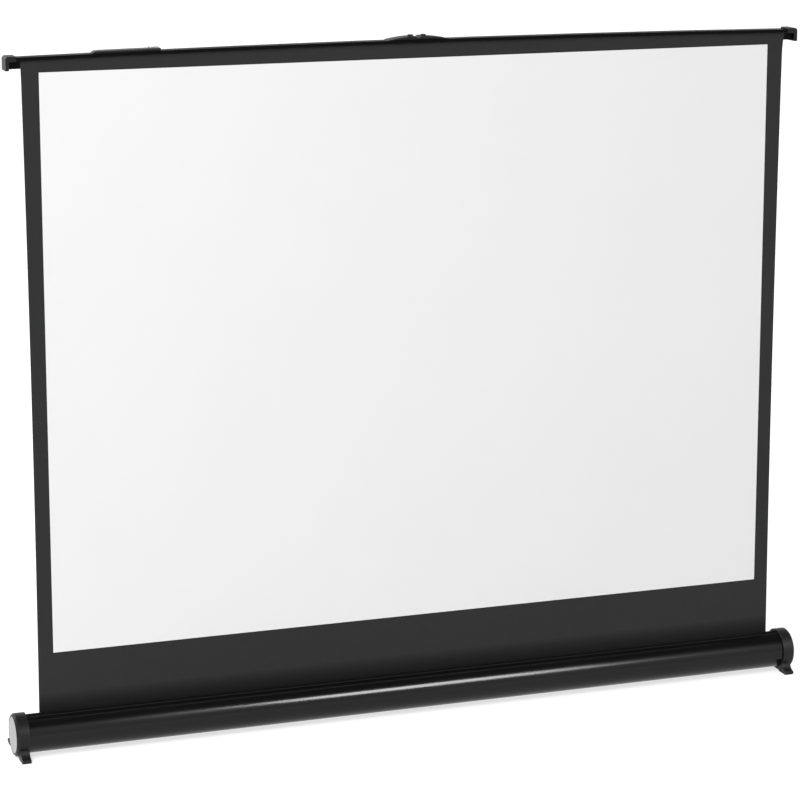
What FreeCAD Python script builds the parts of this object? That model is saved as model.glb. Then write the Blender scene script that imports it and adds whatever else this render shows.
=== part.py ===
"""Table-top projection screen: a rolled screen in a round case, raised by a folding stay.

Frame: millimetres, +Z up, the viewing surface faces -Y, origin on the table in the middle of the
footprint. The screen is modelled pulled up, with the stay locked just past its straight line.
"""
import FreeCAD
import Part
import Sketcher

import math
import os
import re

doc = FreeCAD.newDocument("projection_screen")

# Driving dimensions: each is one settable size of the object, in millimetres or degrees.
DRIVING = {
    # Screen cloth
    "white_width": 1016,
    "white_height": 762,
    "side_border": 21,
    "leader_height": 82.8,
    "top_border": 19.7,
    "fabric_thickness": 0.5,
    "white_thickness": 0.2,
    "edge_waist": 2,
    # Case tube and its slot
    "case_side_room": 35,
    "tube_outer_radius": 25.5,
    "tube_wall": 1.6,
    "ground_gap": 4.5,
    "tube_forward": 12.5,
    "fabric_offset": 4,
    "slot_front": 4,
    "slot_rear": 4,
    "lip_thickness": 1.5,
    "lip_rise": 1,
    # End caps with their feet
    "cap_radius": 28.5,
    "cap_length": 17,
    "cap_floor": 5,
    "cap_edge": 2.5,
    "socket_clearance": 0.05,
    "disc_radius": 24,
    "disc_depth": 1.2,
    "disc_clearance": 0.1,
    "boss_wall": 3,
    "boss_length": 6,
    "foot_length": 95,
    "foot_width": 12,
    "toe_height": 3.5,
    "root_drop": 14.5,
    "toe_hollow": 3,
    "heel_hollow": 4,
    "pad_thickness": 1.5,
    "pad_length": 20,
    "pad_inset": 2,
    # Roller and its spring
    "roller_radius": 10,
    "roller_wall": 1.2,
    "roller_end_gap": 8,
    "winding_build": 0.9,
    "running_gap": 0.3,
    "plug_depth": 14,
    "plug_flange": 3,
    "arbor_radius": 4,
    "arbor_reach": 260,
    "spring_wall": 1.6,
    "spring_length": 200,
    "bush_wall": 2,
    "shaft_fit": 0.05,
    # Folding stay
    "base_pivot_rise": 4,
    "over_centre": 2.5,
    "fold_angle": 90,
    "pin_radius": 4,
    "pin_head_radius": 6.5,
    "pin_head": 3,
    "pin_fit": 0.06,
    "washer_radius": 7,
    "washer_thickness": 1,
    "side_gap": 0.1,
    "arm_wall": 1.5,
    "upper_width": 12,
    "upper_depth": 12,
    "lower_flange": 8,
    "stop_tongue": 20,
    "stop_gap": 0.28,
    "spacer_wall": 1.5,
    # Bracket behind the case
    "saddle_length": 70,
    "saddle_height": 38,
    "saddle_wall": 3.5,
    "rivet_spacing": 50,
    "rivet_radius": 2,
    "rivet_head_radius": 4,
    "rivet_head": 1.6,
    "rivet_tail": 0.6,
    # Top bar
    "bar_overhang": 19,
    "bar_height": 14.5,
    "bar_depth": 19.5,
    "bar_bow": 4.4,
    "bar_wall": 1.5,
    "bar_corner": 1,
    "nose_front": 3,
    "nose_height": 4.6,
    "rod_radius": 1.5,
    "rod_clearance": 0.15,
    "rod_cover": 0.8,
    "slit_width": 1.6,
    # Caps of the bar
    "bar_cap_overlap": 11,
    "bar_cap_floor": 3,
    "bar_cap_wall": 1.3,
    "bar_cap_top": 2,
    "bar_cap_corner": 4,
    "bar_cap_fit": 0.3,
    "bar_cap_plate": 4.5,
    "bar_cap_ease": 0.2,
    # Arched bracket on the bar
    "arch_length": 84,
    "arch_rise": 4.5,
    "plate_length": 60,
    "plate_thickness": 3,
    "seat_gap": 0.05,
    "pivot_below_bar": 8.4,
    "top_boss_radius": 11,
    "screw_spacing": 18,
    "screw_radius": 1.5,
    "screw_head_radius": 3.5,
    "screw_head": 2.6,
    "spot_depth": 0.8,
    "valley_radius": 5,
    "valley_depth": 2.2,
    # Clip for the folded stay
    "knee_to_clip": 48.5,
    "clip_length": 89,
    "clip_thickness": 2.5,
    "clip_leg": 2,
    "clip_reach": 13,
    "clip_bevel": 2,
    "fork_length": 72,
    "fork_gap": 0.6,
    "fork_depth": 14,
    "clip_rivet_inset": 5,
    "clip_rivet_spacing": 7.5,
    "clip_rivet_radius": 3.2,
}

# Values worked out from the driving dimensions, as formulas of the same sheet.
WORKED_OUT = {
    "fabric_half": "white_width / 2 + side_border",
    "half_width": "fabric_half + case_side_room",
    "tube_axis_z": "ground_gap + tube_outer_radius",
    "tube_axis_y": "-tube_forward",
    "tube_inner_radius": "tube_outer_radius - tube_wall",
    "tube_end": "half_width - cap_floor",
    "cap_inner": "half_width - cap_length",
    "fabric_y": "tube_axis_y - fabric_offset",
    "fabric_front": "fabric_y - fabric_thickness / 2",
    "slot_front_y": "fabric_y - slot_front",
    "slot_rear_y": "fabric_y + slot_rear",
    "white_bottom": "tube_axis_z + tube_outer_radius + leader_height",
    "white_top": "white_bottom + white_height",
    "foot_front": "-foot_length / 2",
    "foot_rear": "foot_length / 2",
    "toe_top": "pad_thickness + toe_height",
    "root_z": "tube_axis_z - root_drop",
    "root_half": "sqrt(cap_radius^2 - root_drop^2) - 0.02 * cap_radius",
    "winding_radius": "roller_radius + winding_build",
    "roller_y": "fabric_y + fabric_thickness / 2 + running_gap + winding_radius",
    "boss_end": "tube_end - boss_length",
    "roller_half": "boss_end - roller_end_gap",
    "bush_radius": "arbor_radius + shaft_fit + bush_wall",
    "boss_radius": "bush_radius + boss_wall",
    "bar_half": "fabric_half + bar_overhang",
    "bar_end_top": "white_top + top_border",
    "bar_centre_top": "bar_end_top + bar_bow",
    "bow_radius": "(bar_half^2 + bar_bow^2) / (2 * bar_bow)",
    "bow_centre_z": "bar_centre_top - bow_radius",
    "bow_angle": "2 * asin(bar_half / bow_radius)",
    "bar_front": "fabric_y - nose_front",
    "bar_rear": "bar_front + bar_depth",
    "channel_radius": "rod_radius + rod_clearance",
    "rod_depth": "rod_cover + channel_radius",
    "base_pivot_z": "tube_axis_z + base_pivot_rise",
    "top_pivot_z": "bar_centre_top - pivot_below_bar",
    "arm_length": "(top_pivot_z - base_pivot_z) / (2 * cos(over_centre))",
    "knee_x": "arm_length * sin(over_centre)",
    "knee_z": "base_pivot_z + arm_length * cos(over_centre)",
    "upper_half": "upper_width / 2",
    "lower_inner": "upper_half + washer_thickness + 2 * side_gap",
    "lower_half": "lower_inner + arm_wall",
    "web_inner": "upper_depth / 2 * cos(2 * over_centre) + stop_tongue * sin(2 * over_centre) + stop_gap",
    "web_outer": "web_inner + arm_wall",
    "saddle_face": "tube_axis_y + tube_outer_radius + saddle_wall",
    "arms_y": "saddle_face + washer_thickness + 2 * side_gap + lower_half",
    "lower_front": "arms_y - lower_half",
    "lower_rear": "arms_y + lower_half",
    "upper_front": "arms_y - upper_half",
    "upper_rear": "arms_y + upper_half",
    "top_boss_face": "upper_front - washer_thickness - 2 * side_gap",
    "clip_centre": "knee_to_clip - arm_length * sin(fold_angle - over_centre)",
    "clip_turn": "asin(clip_centre / bow_radius)",
    "clip_right": "clip_centre + clip_length / 2",
}

sheet = doc.addObject("Spreadsheet::Sheet", "dims")
for row, (name, content) in enumerate({**DRIVING, **WORKED_OUT}.items(), start=1):
    formula = f"={content}" if name in WORKED_OUT else str(content)
    sheet.set(f"A{row}", name)
    sheet.set(f"B{row}", formula)
    sheet.setAlias(f"B{row}", name)
doc.recompute()

NODES = []
PLANE_OF_AXIS = {"X": "YZ_Plane", "Y": "XZ_Plane", "Z": "XY_Plane"}
TURN_TO_AXIS = {
    "X": FreeCAD.Rotation(FreeCAD.Vector(0, 1, 0), 90),
    "Y": FreeCAD.Rotation(FreeCAD.Vector(1, 0, 0), -90),
    "Z": FreeCAD.Rotation(),
}


def bound(text):
    """An expression on the sheet's names, as objects outside the sheet have to write it."""
    words = re.compile(r"[a-z_]+")
    known = lambda found: f"dims.{found.group()}" if hasattr(sheet, found.group()) else found.group()
    return words.sub(known, str(text))


def value(text):
    return float(sheet.evalExpression(str(text)))


def bind(thing, prop, text):
    thing.setExpression(prop, bound(text))


def node(thing, label):
    """Registers a finished piece under the name of its node."""
    thing.Label = label
    NODES.append(thing)
    return thing


def new_body(label):
    return node(doc.addObject("PartDesign::Body", label), label)


def origin_feature(body, role):
    return next(f for f in body.Origin.OriginFeatures if f.Role == role)


class Arc:
    """The edge that leaves a point as an arc: by its rise over the chord, or by its radius."""

    def __init__(self, turn, rise=None, radius=None, large=False):
        self.turn = turn
        self.rise = rise
        self.radius = radius
        self.large = large

    def radius_text(self, start, end):
        if self.radius is not None:
            return str(self.radius)
        chord = f"(({end[0]}) - ({start[0]}))^2 + (({end[1]}) - ({start[1]}))^2"
        return f"({chord}) / (8 * ({self.rise})) + ({self.rise}) / 2"

    def geometry(self, start, end, radius):
        chord = end - start
        height = math.sqrt(max(radius**2 - (chord.Length / 2) ** 2, 0))
        side = 1 if (self.turn == "ccw") != self.large else -1
        left = FreeCAD.Vector(-chord.y, chord.x, 0).normalize()
        centre = (start + end) * 0.5 + left * (side * height)
        first, last = (start, end) if self.turn == "ccw" else (end, start)
        angles = [math.atan2(p.y - centre.y, p.x - centre.x) for p in (first, last)]
        return Part.ArcOfCircle(Part.Circle(centre, FreeCAD.Vector(0, 0, 1), radius), *angles)


class Circle:
    def __init__(self, across, up, radius):
        self.centre = (across, up)
        self.radius = radius


def pin_point(sketch, edge, end, place):
    for kind, text in zip(("DistanceX", "DistanceY"), place):
        rule = sketch.addConstraint(Sketcher.Constraint(kind, -1, 1, edge, end, value(text)))
        bind(sketch, f"Constraints[{rule}]", text)


def set_radius(sketch, edge, text):
    rule = sketch.addConstraint(Sketcher.Constraint("Radius", edge, value(text)))
    bind(sketch, f"Constraints[{rule}]", text)


def draw_circle(sketch, loop):
    centre = FreeCAD.Vector(*[value(text) for text in loop.centre], 0)
    edge = sketch.addGeometry(Part.Circle(centre, FreeCAD.Vector(0, 0, 1), value(loop.radius)))
    pin_point(sketch, edge, 3, loop.centre)
    set_radius(sketch, edge, loop.radius)


def draw_outline(sketch, points):
    """A closed outline of (across, up) points. A point's third entry makes its edge an arc."""
    spots = [FreeCAD.Vector(value(p[0]), value(p[1]), 0) for p in points]
    ends = []
    for i, point in enumerate(points):
        following = (i + 1) % len(points)
        arc = point[2] if len(point) > 2 else None
        if arc is None:
            edge = sketch.addGeometry(Part.LineSegment(spots[i], spots[following]))
        else:
            text = arc.radius_text(point, points[following])
            edge = sketch.addGeometry(arc.geometry(spots[i], spots[following], value(text)))
        backwards = arc is not None and arc.turn == "cw"
        ends.append((edge, 2, 1) if backwards else (edge, 1, 2))
    for i, (edge, start, end) in enumerate(ends):
        next_edge, next_start, _ = ends[(i + 1) % len(ends)]
        sketch.addConstraint(Sketcher.Constraint("Coincident", edge, end, next_edge, next_start))
    for i, (edge, start, end) in enumerate(ends):
        pin_point(sketch, edge, start, points[i][:2])
        arc = points[i][2] if len(points[i]) > 2 else None
        if arc is not None:
            set_radius(sketch, edge, arc.radius_text(points[i], points[(i + 1) % len(points)]))


def new_sketch(body, axis, at, loops):
    """A sketch square to an axis of the body, at a place along it. Across and up run along
    Y and Z for the X axis, X and Z for the Y axis, and X and Y for the Z axis."""
    sketch = body.newObject("Sketcher::SketchObject", f"{body.Name}_sketch")
    sketch.AttachmentSupport = [(origin_feature(body, PLANE_OF_AXIS[axis]), "")]
    sketch.MapMode = "FlatFace"
    bind(sketch, "AttachmentOffset.Base.z", f"-({at})" if axis == "Y" else at)
    for loop in loops:
        if isinstance(loop, Circle):
            draw_circle(sketch, loop)
        else:
            draw_outline(sketch, loop)
    doc.recompute()
    return sketch


def extrude(body, axis, start, end, *loops):
    """Adds the outline from one place to a further one along the axis."""
    pad = body.newObject("PartDesign::Pad", f"{body.Name}_pad")
    pad.Profile = new_sketch(body, axis, start, loops)
    pad.Reversed = axis == "Y"
    bind(pad, "Length", f"({end}) - ({start})")
    doc.recompute()
    return pad


def cut(body, axis, start, end, *loops):
    """Takes the outline away from one place to a further one along the axis."""
    before = body.Shape.Volume
    pocket = body.newObject("PartDesign::Pocket", f"{body.Name}_pocket")
    pocket.Profile = new_sketch(body, axis, start, loops)
    pocket.Reversed = axis != "Y"
    bind(pocket, "Length", f"({end}) - ({start})")
    doc.recompute()
    if not body.Shape.Volume < before:
        raise RuntimeError(f"a cut of {body.Label} takes nothing away")
    return pocket


def bevel_edges(body, size, wanted):
    """Bevels the edges of the body's last feature that a test picks."""
    last = body.Tip
    names = [f"Edge{i}" for i, edge in enumerate(last.Shape.Edges, start=1) if wanted(edge)]
    bevel = body.newObject("PartDesign::Chamfer", f"{body.Name}_bevel")
    bevel.Base = (last, names)
    bind(bevel, "Size", size)
    doc.recompute()
    return bevel


def edge_at(edge, axis, place):
    """True for an edge that lies wholly at one place along an axis."""
    box = edge.BoundBox
    low, high = {"X": (box.XMin, box.XMax), "Y": (box.YMin, box.YMax), "Z": (box.ZMin, box.ZMax)}[axis]
    return abs(low - value(place)) < 0.01 and abs(high - value(place)) < 0.01


def is_circle(edge, radius):
    return isinstance(edge.Curve, Part.Circle) and abs(edge.Curve.Radius - value(radius)) < 0.01


def ring(label, axis, start, end, across, up, outer, inner):
    """A washer, spacer, sleeve or short tube along an axis."""
    body = new_body(label)
    extrude(body, axis, start, end, Circle(across, up, outer), Circle(across, up, inner))
    return body


def round_bar(name, axis, place, radius, length):
    """A plain cylinder that starts at a place and runs along an axis."""
    bar = doc.addObject("Part::Cylinder", name)
    bind(bar, "Radius", radius)
    bind(bar, "Height", length)
    bar.Placement = FreeCAD.Placement(FreeCAD.Vector(), TURN_TO_AXIS[axis])
    for letter, text in zip("xyz", place):
        bind(bar, f"Placement.Base.{letter}", text)
    return bar


def fuse(label, *pieces):
    joined = doc.addObject("Part::MultiFuse", label)
    joined.Shapes = list(pieces)
    joined.Refine = True
    return joined


def group(label, *pieces):
    """Like pieces that share one node and stay separate solids."""
    together = doc.addObject("Part::Compound", label)
    together.Links = list(pieces)
    return node(together, label)


def on_circle(across, radius, centre):
    """Height on the upper half of a circle round the tube's axis."""
    return f"tube_axis_z + sqrt(({radius})^2 - (({across}) - ({centre}))^2)"


# Case tube: a round extrusion, open along its top where the cloth comes out.
case_tube = new_body("case_tube")
extrude(
    case_tube, "X", "-tube_end", "tube_end",
    [
        ("slot_front_y", on_circle("slot_front_y", "tube_outer_radius", "tube_axis_y"),
         Arc("ccw", radius="tube_outer_radius", large=True)),
        ("slot_rear_y", on_circle("slot_rear_y", "tube_outer_radius", "tube_axis_y")),
        ("slot_rear_y", on_circle("slot_rear_y", "tube_inner_radius", "tube_axis_y"),
         Arc("cw", radius="tube_inner_radius", large=True)),
        ("slot_front_y", on_circle("slot_front_y", "tube_inner_radius", "tube_axis_y")),
    ],
)
cut(
    case_tube, "Y", "tube_axis_y", "tube_axis_y + 2 * tube_outer_radius",
    Circle("-rivet_spacing / 2", "base_pivot_z", "rivet_radius + socket_clearance"),
    Circle("rivet_spacing / 2", "base_pivot_z", "rivet_radius + socket_clearance"),
)


def slot_lip(label, tube_edge, cloth_side):
    """A soft strip along one edge of the slot, with a rounded top that the cloth rubs on."""
    inner = f"{tube_edge} + ({cloth_side}) * lip_thickness"
    front, rear = (tube_edge, inner) if cloth_side > 0 else (inner, tube_edge)
    foot = on_circle(tube_edge, "tube_inner_radius", "tube_axis_y")
    top = f"{on_circle(tube_edge, 'tube_outer_radius', 'tube_axis_y')} + lip_rise"
    strip = new_body(label)
    extrude(
        strip, "X", "-cap_inner", "cap_inner",
        [(front, foot), (rear, foot), (rear, top, Arc("ccw", rise="lip_thickness / 3")), (front, top)],
    )


slot_lip("slot_lip_front", "slot_front_y", 1)
slot_lip("slot_lip_rear", "slot_rear_y", -1)


def span(side, near, far):
    """Start and end along X of a stretch between two distances from the middle."""
    return (near, far) if side > 0 else (f"-({far})", f"-({near})")


def end_cap(label, side, bore):
    """A moulded cap that closes the tube, carries the roller's end and stands on a splayed foot."""
    cap = new_body(label)
    barrel = Circle("tube_axis_y", "tube_axis_z", "cap_radius")
    extrude(cap, "X", *span(side, "cap_inner", "half_width"), barrel)
    bevel_edges(
        cap, "cap_edge",
        lambda edge: is_circle(edge, "cap_radius") and edge_at(edge, "X", f"{side} * half_width"),
    )
    extrude(
        cap, "X", *span(side, "cap_inner", "cap_inner + foot_width"),
        [
            ("foot_front", "pad_thickness"),
            ("foot_rear", "pad_thickness"),
            ("foot_rear", "toe_top", Arc("cw", rise="heel_hollow")),
            ("tube_axis_y + root_half", "root_z"),
            ("tube_axis_y - root_half", "root_z", Arc("cw", rise="toe_hollow")),
            ("foot_front", "toe_top"),
        ],
    )
    socket = Circle("tube_axis_y", "tube_axis_z", "tube_outer_radius + socket_clearance")
    cut(cap, "X", *span(side, "cap_inner", "tube_end"), socket)
    recess = Circle("tube_axis_y", "tube_axis_z", "disc_radius + disc_clearance")
    cut(cap, "X", *span(side, "half_width - disc_depth", "half_width"), recess)
    extrude(cap, "X", *span(side, "boss_end", "tube_end"), Circle("roller_y", "tube_axis_z", "boss_radius"))
    cut(cap, "X", *span(side, "boss_end", "tube_end"), Circle("roller_y", "tube_axis_z", bore))


end_cap("end_cap_left", -1, "arbor_radius + socket_clearance")
end_cap("end_cap_right", 1, "bush_radius + socket_clearance")


def end_disc(label, side):
    """A pale round inlay in the cap's outer face."""
    disc = new_body(label)
    extrude(
        disc, "X", *span(side, "half_width - disc_depth", "half_width"),
        Circle("tube_axis_y", "tube_axis_z", "disc_radius"),
    )


end_disc("end_disc_left", -1)
end_disc("end_disc_right", 1)

# Rubber pads under the toe and the heel of both feet.
pads = []
for x in ("-(cap_inner + foot_width)", "cap_inner"):
    for y in ("foot_front + pad_inset", "foot_rear - pad_inset - pad_length"):
        pad_box = doc.addObject("Part::Box", "foot_pad")
        bind(pad_box, "Length", "foot_width")
        bind(pad_box, "Width", "pad_length")
        bind(pad_box, "Height", "pad_thickness")
        bind(pad_box, "Placement.Base.x", x)
        bind(pad_box, "Placement.Base.y", y)
        pads.append(pad_box)
group("foot_pads", *pads)

# Roller with its plugs. A fixed arbor holds the spring's inner end, so the roller winds it.
ring(
    "roller_tube", "X", "-roller_half", "roller_half", "roller_y", "tube_axis_z",
    "roller_radius", "roller_radius - roller_wall",
)


def roller_plug(label, side, bore):
    """A stepped plug in the end of the roller, with a flange against its rim."""
    plug = new_body(label)
    flange = Circle("roller_y", "tube_axis_z", "roller_radius")
    spigot = Circle("roller_y", "tube_axis_z", "roller_radius - roller_wall - socket_clearance")
    extrude(plug, "X", *span(side, "roller_half", "roller_half + plug_flange"), flange)
    extrude(plug, "X", *span(side, "roller_half - plug_depth", "roller_half"), spigot)
    hole = Circle("roller_y", "tube_axis_z", bore)
    cut(plug, "X", *span(side, "roller_half - plug_depth", "roller_half + plug_flange"), hole)


roller_plug("roller_plug_left", -1, "arbor_radius + shaft_fit")
roller_plug("roller_plug_right", 1, "arbor_radius")

arbor = round_bar(
    "spring_arbor", "X", ("-tube_end", "roller_y", "tube_axis_z"),
    "arbor_radius", "boss_length + roller_end_gap + arbor_reach",
)
node(arbor, "spring_arbor")
ring(
    "torsion_spring", "X",
    "-(roller_half - plug_depth)", "-(roller_half - plug_depth) + spring_length",
    "roller_y", "tube_axis_z",
    "arbor_radius + running_gap + spring_wall", "arbor_radius + running_gap",
)
gudgeon = round_bar(
    "idle_gudgeon", "X", ("roller_half - plug_depth", "roller_y", "tube_axis_z"),
    "arbor_radius", "plug_depth + roller_end_gap + boss_length - running_gap",
)
node(gudgeon, "idle_gudgeon")
ring(
    "idle_bush", "X", "boss_end", "tube_end", "roller_y", "tube_axis_z",
    "bush_radius", "arbor_radius + shaft_fit",
)
ring(
    "fabric_winding", "X", "-fabric_half", "fabric_half", "roller_y", "tube_axis_z",
    "winding_radius", "roller_radius",
)

# Cloth: a black sheet from the roller to the bar, drawn in a little at its edges, and the white
# viewing surface on its front. Its top edge follows the bow of the bar.
fabric_top_depth = "(rod_depth + rod_radius + running_gap)"
fabric_top_corner = (
    f"bow_centre_z + sqrt((bow_radius - {fabric_top_depth})^2 - (fabric_half + edge_waist)^2)"
)
screen_fabric = new_body("screen_fabric")
extrude(
    screen_fabric, "Y", "fabric_front", "fabric_front + fabric_thickness",
    [
        ("-(fabric_half)", "tube_axis_z"),
        ("fabric_half", "tube_axis_z", Arc("cw", rise="edge_waist")),
        ("fabric_half + edge_waist", fabric_top_corner, Arc("ccw", radius=f"bow_radius - {fabric_top_depth}")),
        ("-(fabric_half + edge_waist)", fabric_top_corner, Arc("cw", rise="edge_waist")),
    ],
)
viewing_surface = new_body("viewing_surface")
extrude(
    viewing_surface, "Y", "fabric_front - white_thickness", "fabric_front",
    [
        ("-white_width / 2", "white_bottom"),
        ("white_width / 2", "white_bottom"),
        ("white_width / 2", "white_top"),
        ("-white_width / 2", "white_top"),
    ],
)

# Saddle bracket on the back of the case, which carries the lower pivot of the stay.
saddle = new_body("stay_base_bracket")
saddle_low = "base_pivot_z - saddle_height / 2"
saddle_high = "base_pivot_z + saddle_height / 2"
extrude(
    saddle, "X", "-saddle_length / 2", "saddle_length / 2",
    [
        ("tube_axis_y + tube_outer_radius / 2", saddle_low),
        ("saddle_face - saddle_wall", saddle_low),
        ("saddle_face", f"{saddle_low} + saddle_wall"),
        ("saddle_face", f"{saddle_high} - saddle_wall"),
        ("saddle_face - saddle_wall", saddle_high),
        ("tube_axis_y + tube_outer_radius / 2", saddle_high),
    ],
)
cut(
    saddle, "X", "-saddle_length", "saddle_length",
    Circle("tube_axis_y", "tube_axis_z", "tube_outer_radius + socket_clearance"),
)
cut(
    saddle, "Y", "tube_axis_y", "saddle_face",
    Circle("-rivet_spacing / 2", "base_pivot_z", "rivet_radius + socket_clearance"),
    Circle("rivet_spacing / 2", "base_pivot_z", "rivet_radius + socket_clearance"),
)
rivet_seat = "saddle_face - rivet_head - side_gap"
cut(
    saddle, "Y", rivet_seat, "saddle_face",
    Circle("-rivet_spacing / 2", "base_pivot_z", "rivet_head_radius + running_gap"),
    Circle("rivet_spacing / 2", "base_pivot_z", "rivet_head_radius + running_gap"),
)

# Rivets through the saddle and the tube's wall, with their heads sunk clear of the folding arm.
rivet_start = "tube_axis_y + tube_inner_radius - rivet_tail"
rivets = []
for x in ("-rivet_spacing / 2", "rivet_spacing / 2"):
    shank = round_bar("rivet_shank", "Y", (x, rivet_start, "base_pivot_z"), "rivet_radius",
                      f"{rivet_seat} - ({rivet_start})")
    head = round_bar("rivet_head", "Y", (x, rivet_seat, "base_pivot_z"), "rivet_head_radius", "rivet_head")
    rivets.append(fuse("base_rivet", shank, head))
group("base_rivets", *rivets)


def stud(label, x, z, start, end):
    """A shouldered stud along Y whose head keeps an arm on it."""
    shank = round_bar(f"{label}_shank", "Y", (x, start, z), "pin_radius", f"({end}) - ({start})")
    head = round_bar(f"{label}_head", "Y", (x, end, z), "pin_head_radius", "pin_head")
    node(fuse(label, shank, head), label)


def washers(label, x, z, *starts):
    """Washers on one pin, each from its own place along Y."""
    rings = []
    for start in starts:
        outside = round_bar(f"{label}_rim", "Y", (x, start, z), "washer_radius", "washer_thickness")
        inside = round_bar(f"{label}_hole", "Y", (x, start, z), "pin_radius", "washer_thickness")
        washer = doc.addObject("Part::Cut", f"{label}_ring")
        washer.Base = outside
        washer.Tool = inside
        rings.append(washer)
    group(label, *rings)


stud("base_stud", "0", "base_pivot_z", "saddle_face", "lower_rear + 2 * side_gap + washer_thickness")
washers("base_washers", "0", "base_pivot_z", "saddle_face", "lower_rear + 2 * side_gap")


def arm_pins(*heights):
    return [Circle("0", height, "pin_radius + pin_fit") for height in heights]


def round_end(pin, way, radius, beyond):
    """What an arm loses beyond one of its pins, so that its end is round about that pin."""
    turn = "ccw" if way < 0 else "cw"
    tip = f"{pin} + ({way}) * ({radius})"
    past = f"{pin} + ({way}) * ({beyond})"
    return [
        (f"-({beyond})", pin),
        (f"-({radius})", pin, Arc(turn, radius=radius)),
        ("0", tip, Arc(turn, radius=radius)),
        (radius, pin),
        (beyond, pin),
        (beyond, past),
        (f"-({beyond})", past),
    ]


def lean(body, x, z, angle):
    """Sets an arm, drawn straight up from its lower pin, at its place and lean."""
    bind(body, "Placement.Base.x", x)
    bind(body, "Placement.Base.y", "arms_y")
    bind(body, "Placement.Base.z", z)
    body.Placement.Rotation = FreeCAD.Rotation(FreeCAD.Vector(0, 1, 0), 1)
    bind(body, "Placement.Rotation.Angle", angle)


# Lower arm: a pressed channel, closed towards -X. Its closed side runs on past the knee as the
# tongue that stops the stay just past its straight line.
lower_arm = new_body("lower_arm")
extrude(
    lower_arm, "Z", "-web_outer", "arm_length + stop_tongue",
    [
        ("-web_outer", "-lower_half"),
        ("lower_flange", "-lower_half"),
        ("lower_flange", "-lower_inner"),
        ("-web_inner", "-lower_inner"),
        ("-web_inner", "lower_inner"),
        ("lower_flange", "lower_inner"),
        ("lower_flange", "lower_half"),
        ("-web_outer", "lower_half"),
    ],
)
cut(lower_arm, "Y", "-2 * lower_half", "2 * lower_half", *arm_pins("0", "arm_length"))
cut(
    lower_arm, "Y", "-2 * lower_half", "2 * lower_half",
    [
        ("-web_inner", "arm_length + 2 * stop_tongue"),
        ("-web_inner", "arm_length + stop_tongue / 2"),
        ("0", "arm_length + lower_flange", Arc("cw", radius="lower_flange")),
        ("lower_flange", "arm_length"),
        ("2 * lower_flange", "arm_length"),
        ("2 * lower_flange", "arm_length + 2 * stop_tongue"),
    ],
)
cut(
    lower_arm, "Y", "-2 * lower_half", "2 * lower_half",
    round_end("0", -1, "web_outer", "2 * web_outer"),
)
lean(lower_arm, "0", "base_pivot_z", "over_centre")

# Upper arm: a narrower channel that nests in the lower one when the stay is folded.
upper_arm = new_body("upper_arm")
extrude(
    upper_arm, "Z", "-upper_depth / 2", "arm_length + upper_depth / 2",
    [
        ("-upper_depth / 2", "-upper_half"),
        ("upper_depth / 2", "-upper_half"),
        ("upper_depth / 2", "-upper_half + arm_wall"),
        ("-upper_depth / 2 + arm_wall", "-upper_half + arm_wall"),
        ("-upper_depth / 2 + arm_wall", "upper_half - arm_wall"),
        ("upper_depth / 2", "upper_half - arm_wall"),
        ("upper_depth / 2", "upper_half"),
        ("-upper_depth / 2", "upper_half"),
    ],
)
cut(upper_arm, "Y", "-2 * upper_half", "2 * upper_half", *arm_pins("0", "arm_length"))
for pin, way in (("0", -1), ("arm_length", 1)):
    cut(
        upper_arm, "Y", "-2 * upper_half", "2 * upper_half",
        round_end(pin, way, "upper_depth / 2", "upper_depth"),
    )
lean(upper_arm, "knee_x", "knee_z", "-over_centre")

# Knee: a pin through both arms with washers between them, and spacers inside the channels.
stud("knee_pin", "knee_x", "knee_z", "lower_front - side_gap", "lower_rear + side_gap")
washers("knee_washers", "knee_x", "knee_z",
        "upper_front - side_gap - washer_thickness", "upper_rear + side_gap")
ring(
    "base_spacer", "Y", "arms_y - lower_inner", "arms_y + lower_inner", "0", "base_pivot_z",
    "pin_radius + pin_fit + spacer_wall", "pin_radius + pin_fit",
)
ring(
    "knee_spacer", "Y", "upper_front + arm_wall", "upper_rear - arm_wall", "knee_x", "knee_z",
    "upper_depth / 2 - arm_wall", "pin_radius + pin_fit",
)
ring(
    "top_spacer", "Y", "upper_front + arm_wall", "upper_rear - arm_wall", "0", "top_pivot_z",
    "upper_depth / 2 - arm_wall", "pin_radius + pin_fit",
)


def bowed(label, *loops):
    """Turns a section about the far centre of the bar's bow. Heights count from that centre."""
    body = new_body(label)
    revolution = body.newObject("PartDesign::Revolution", f"{label}_revolution")
    revolution.Profile = new_sketch(body, "X", "0", loops)
    revolution.ReferenceAxis = (origin_feature(body, "Y_Axis"), [""])
    revolution.Midplane = True
    bind(revolution, "Angle", "bow_angle")
    bind(body, "Placement.Base.z", "bow_centre_z")
    doc.recompute()
    return body


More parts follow.
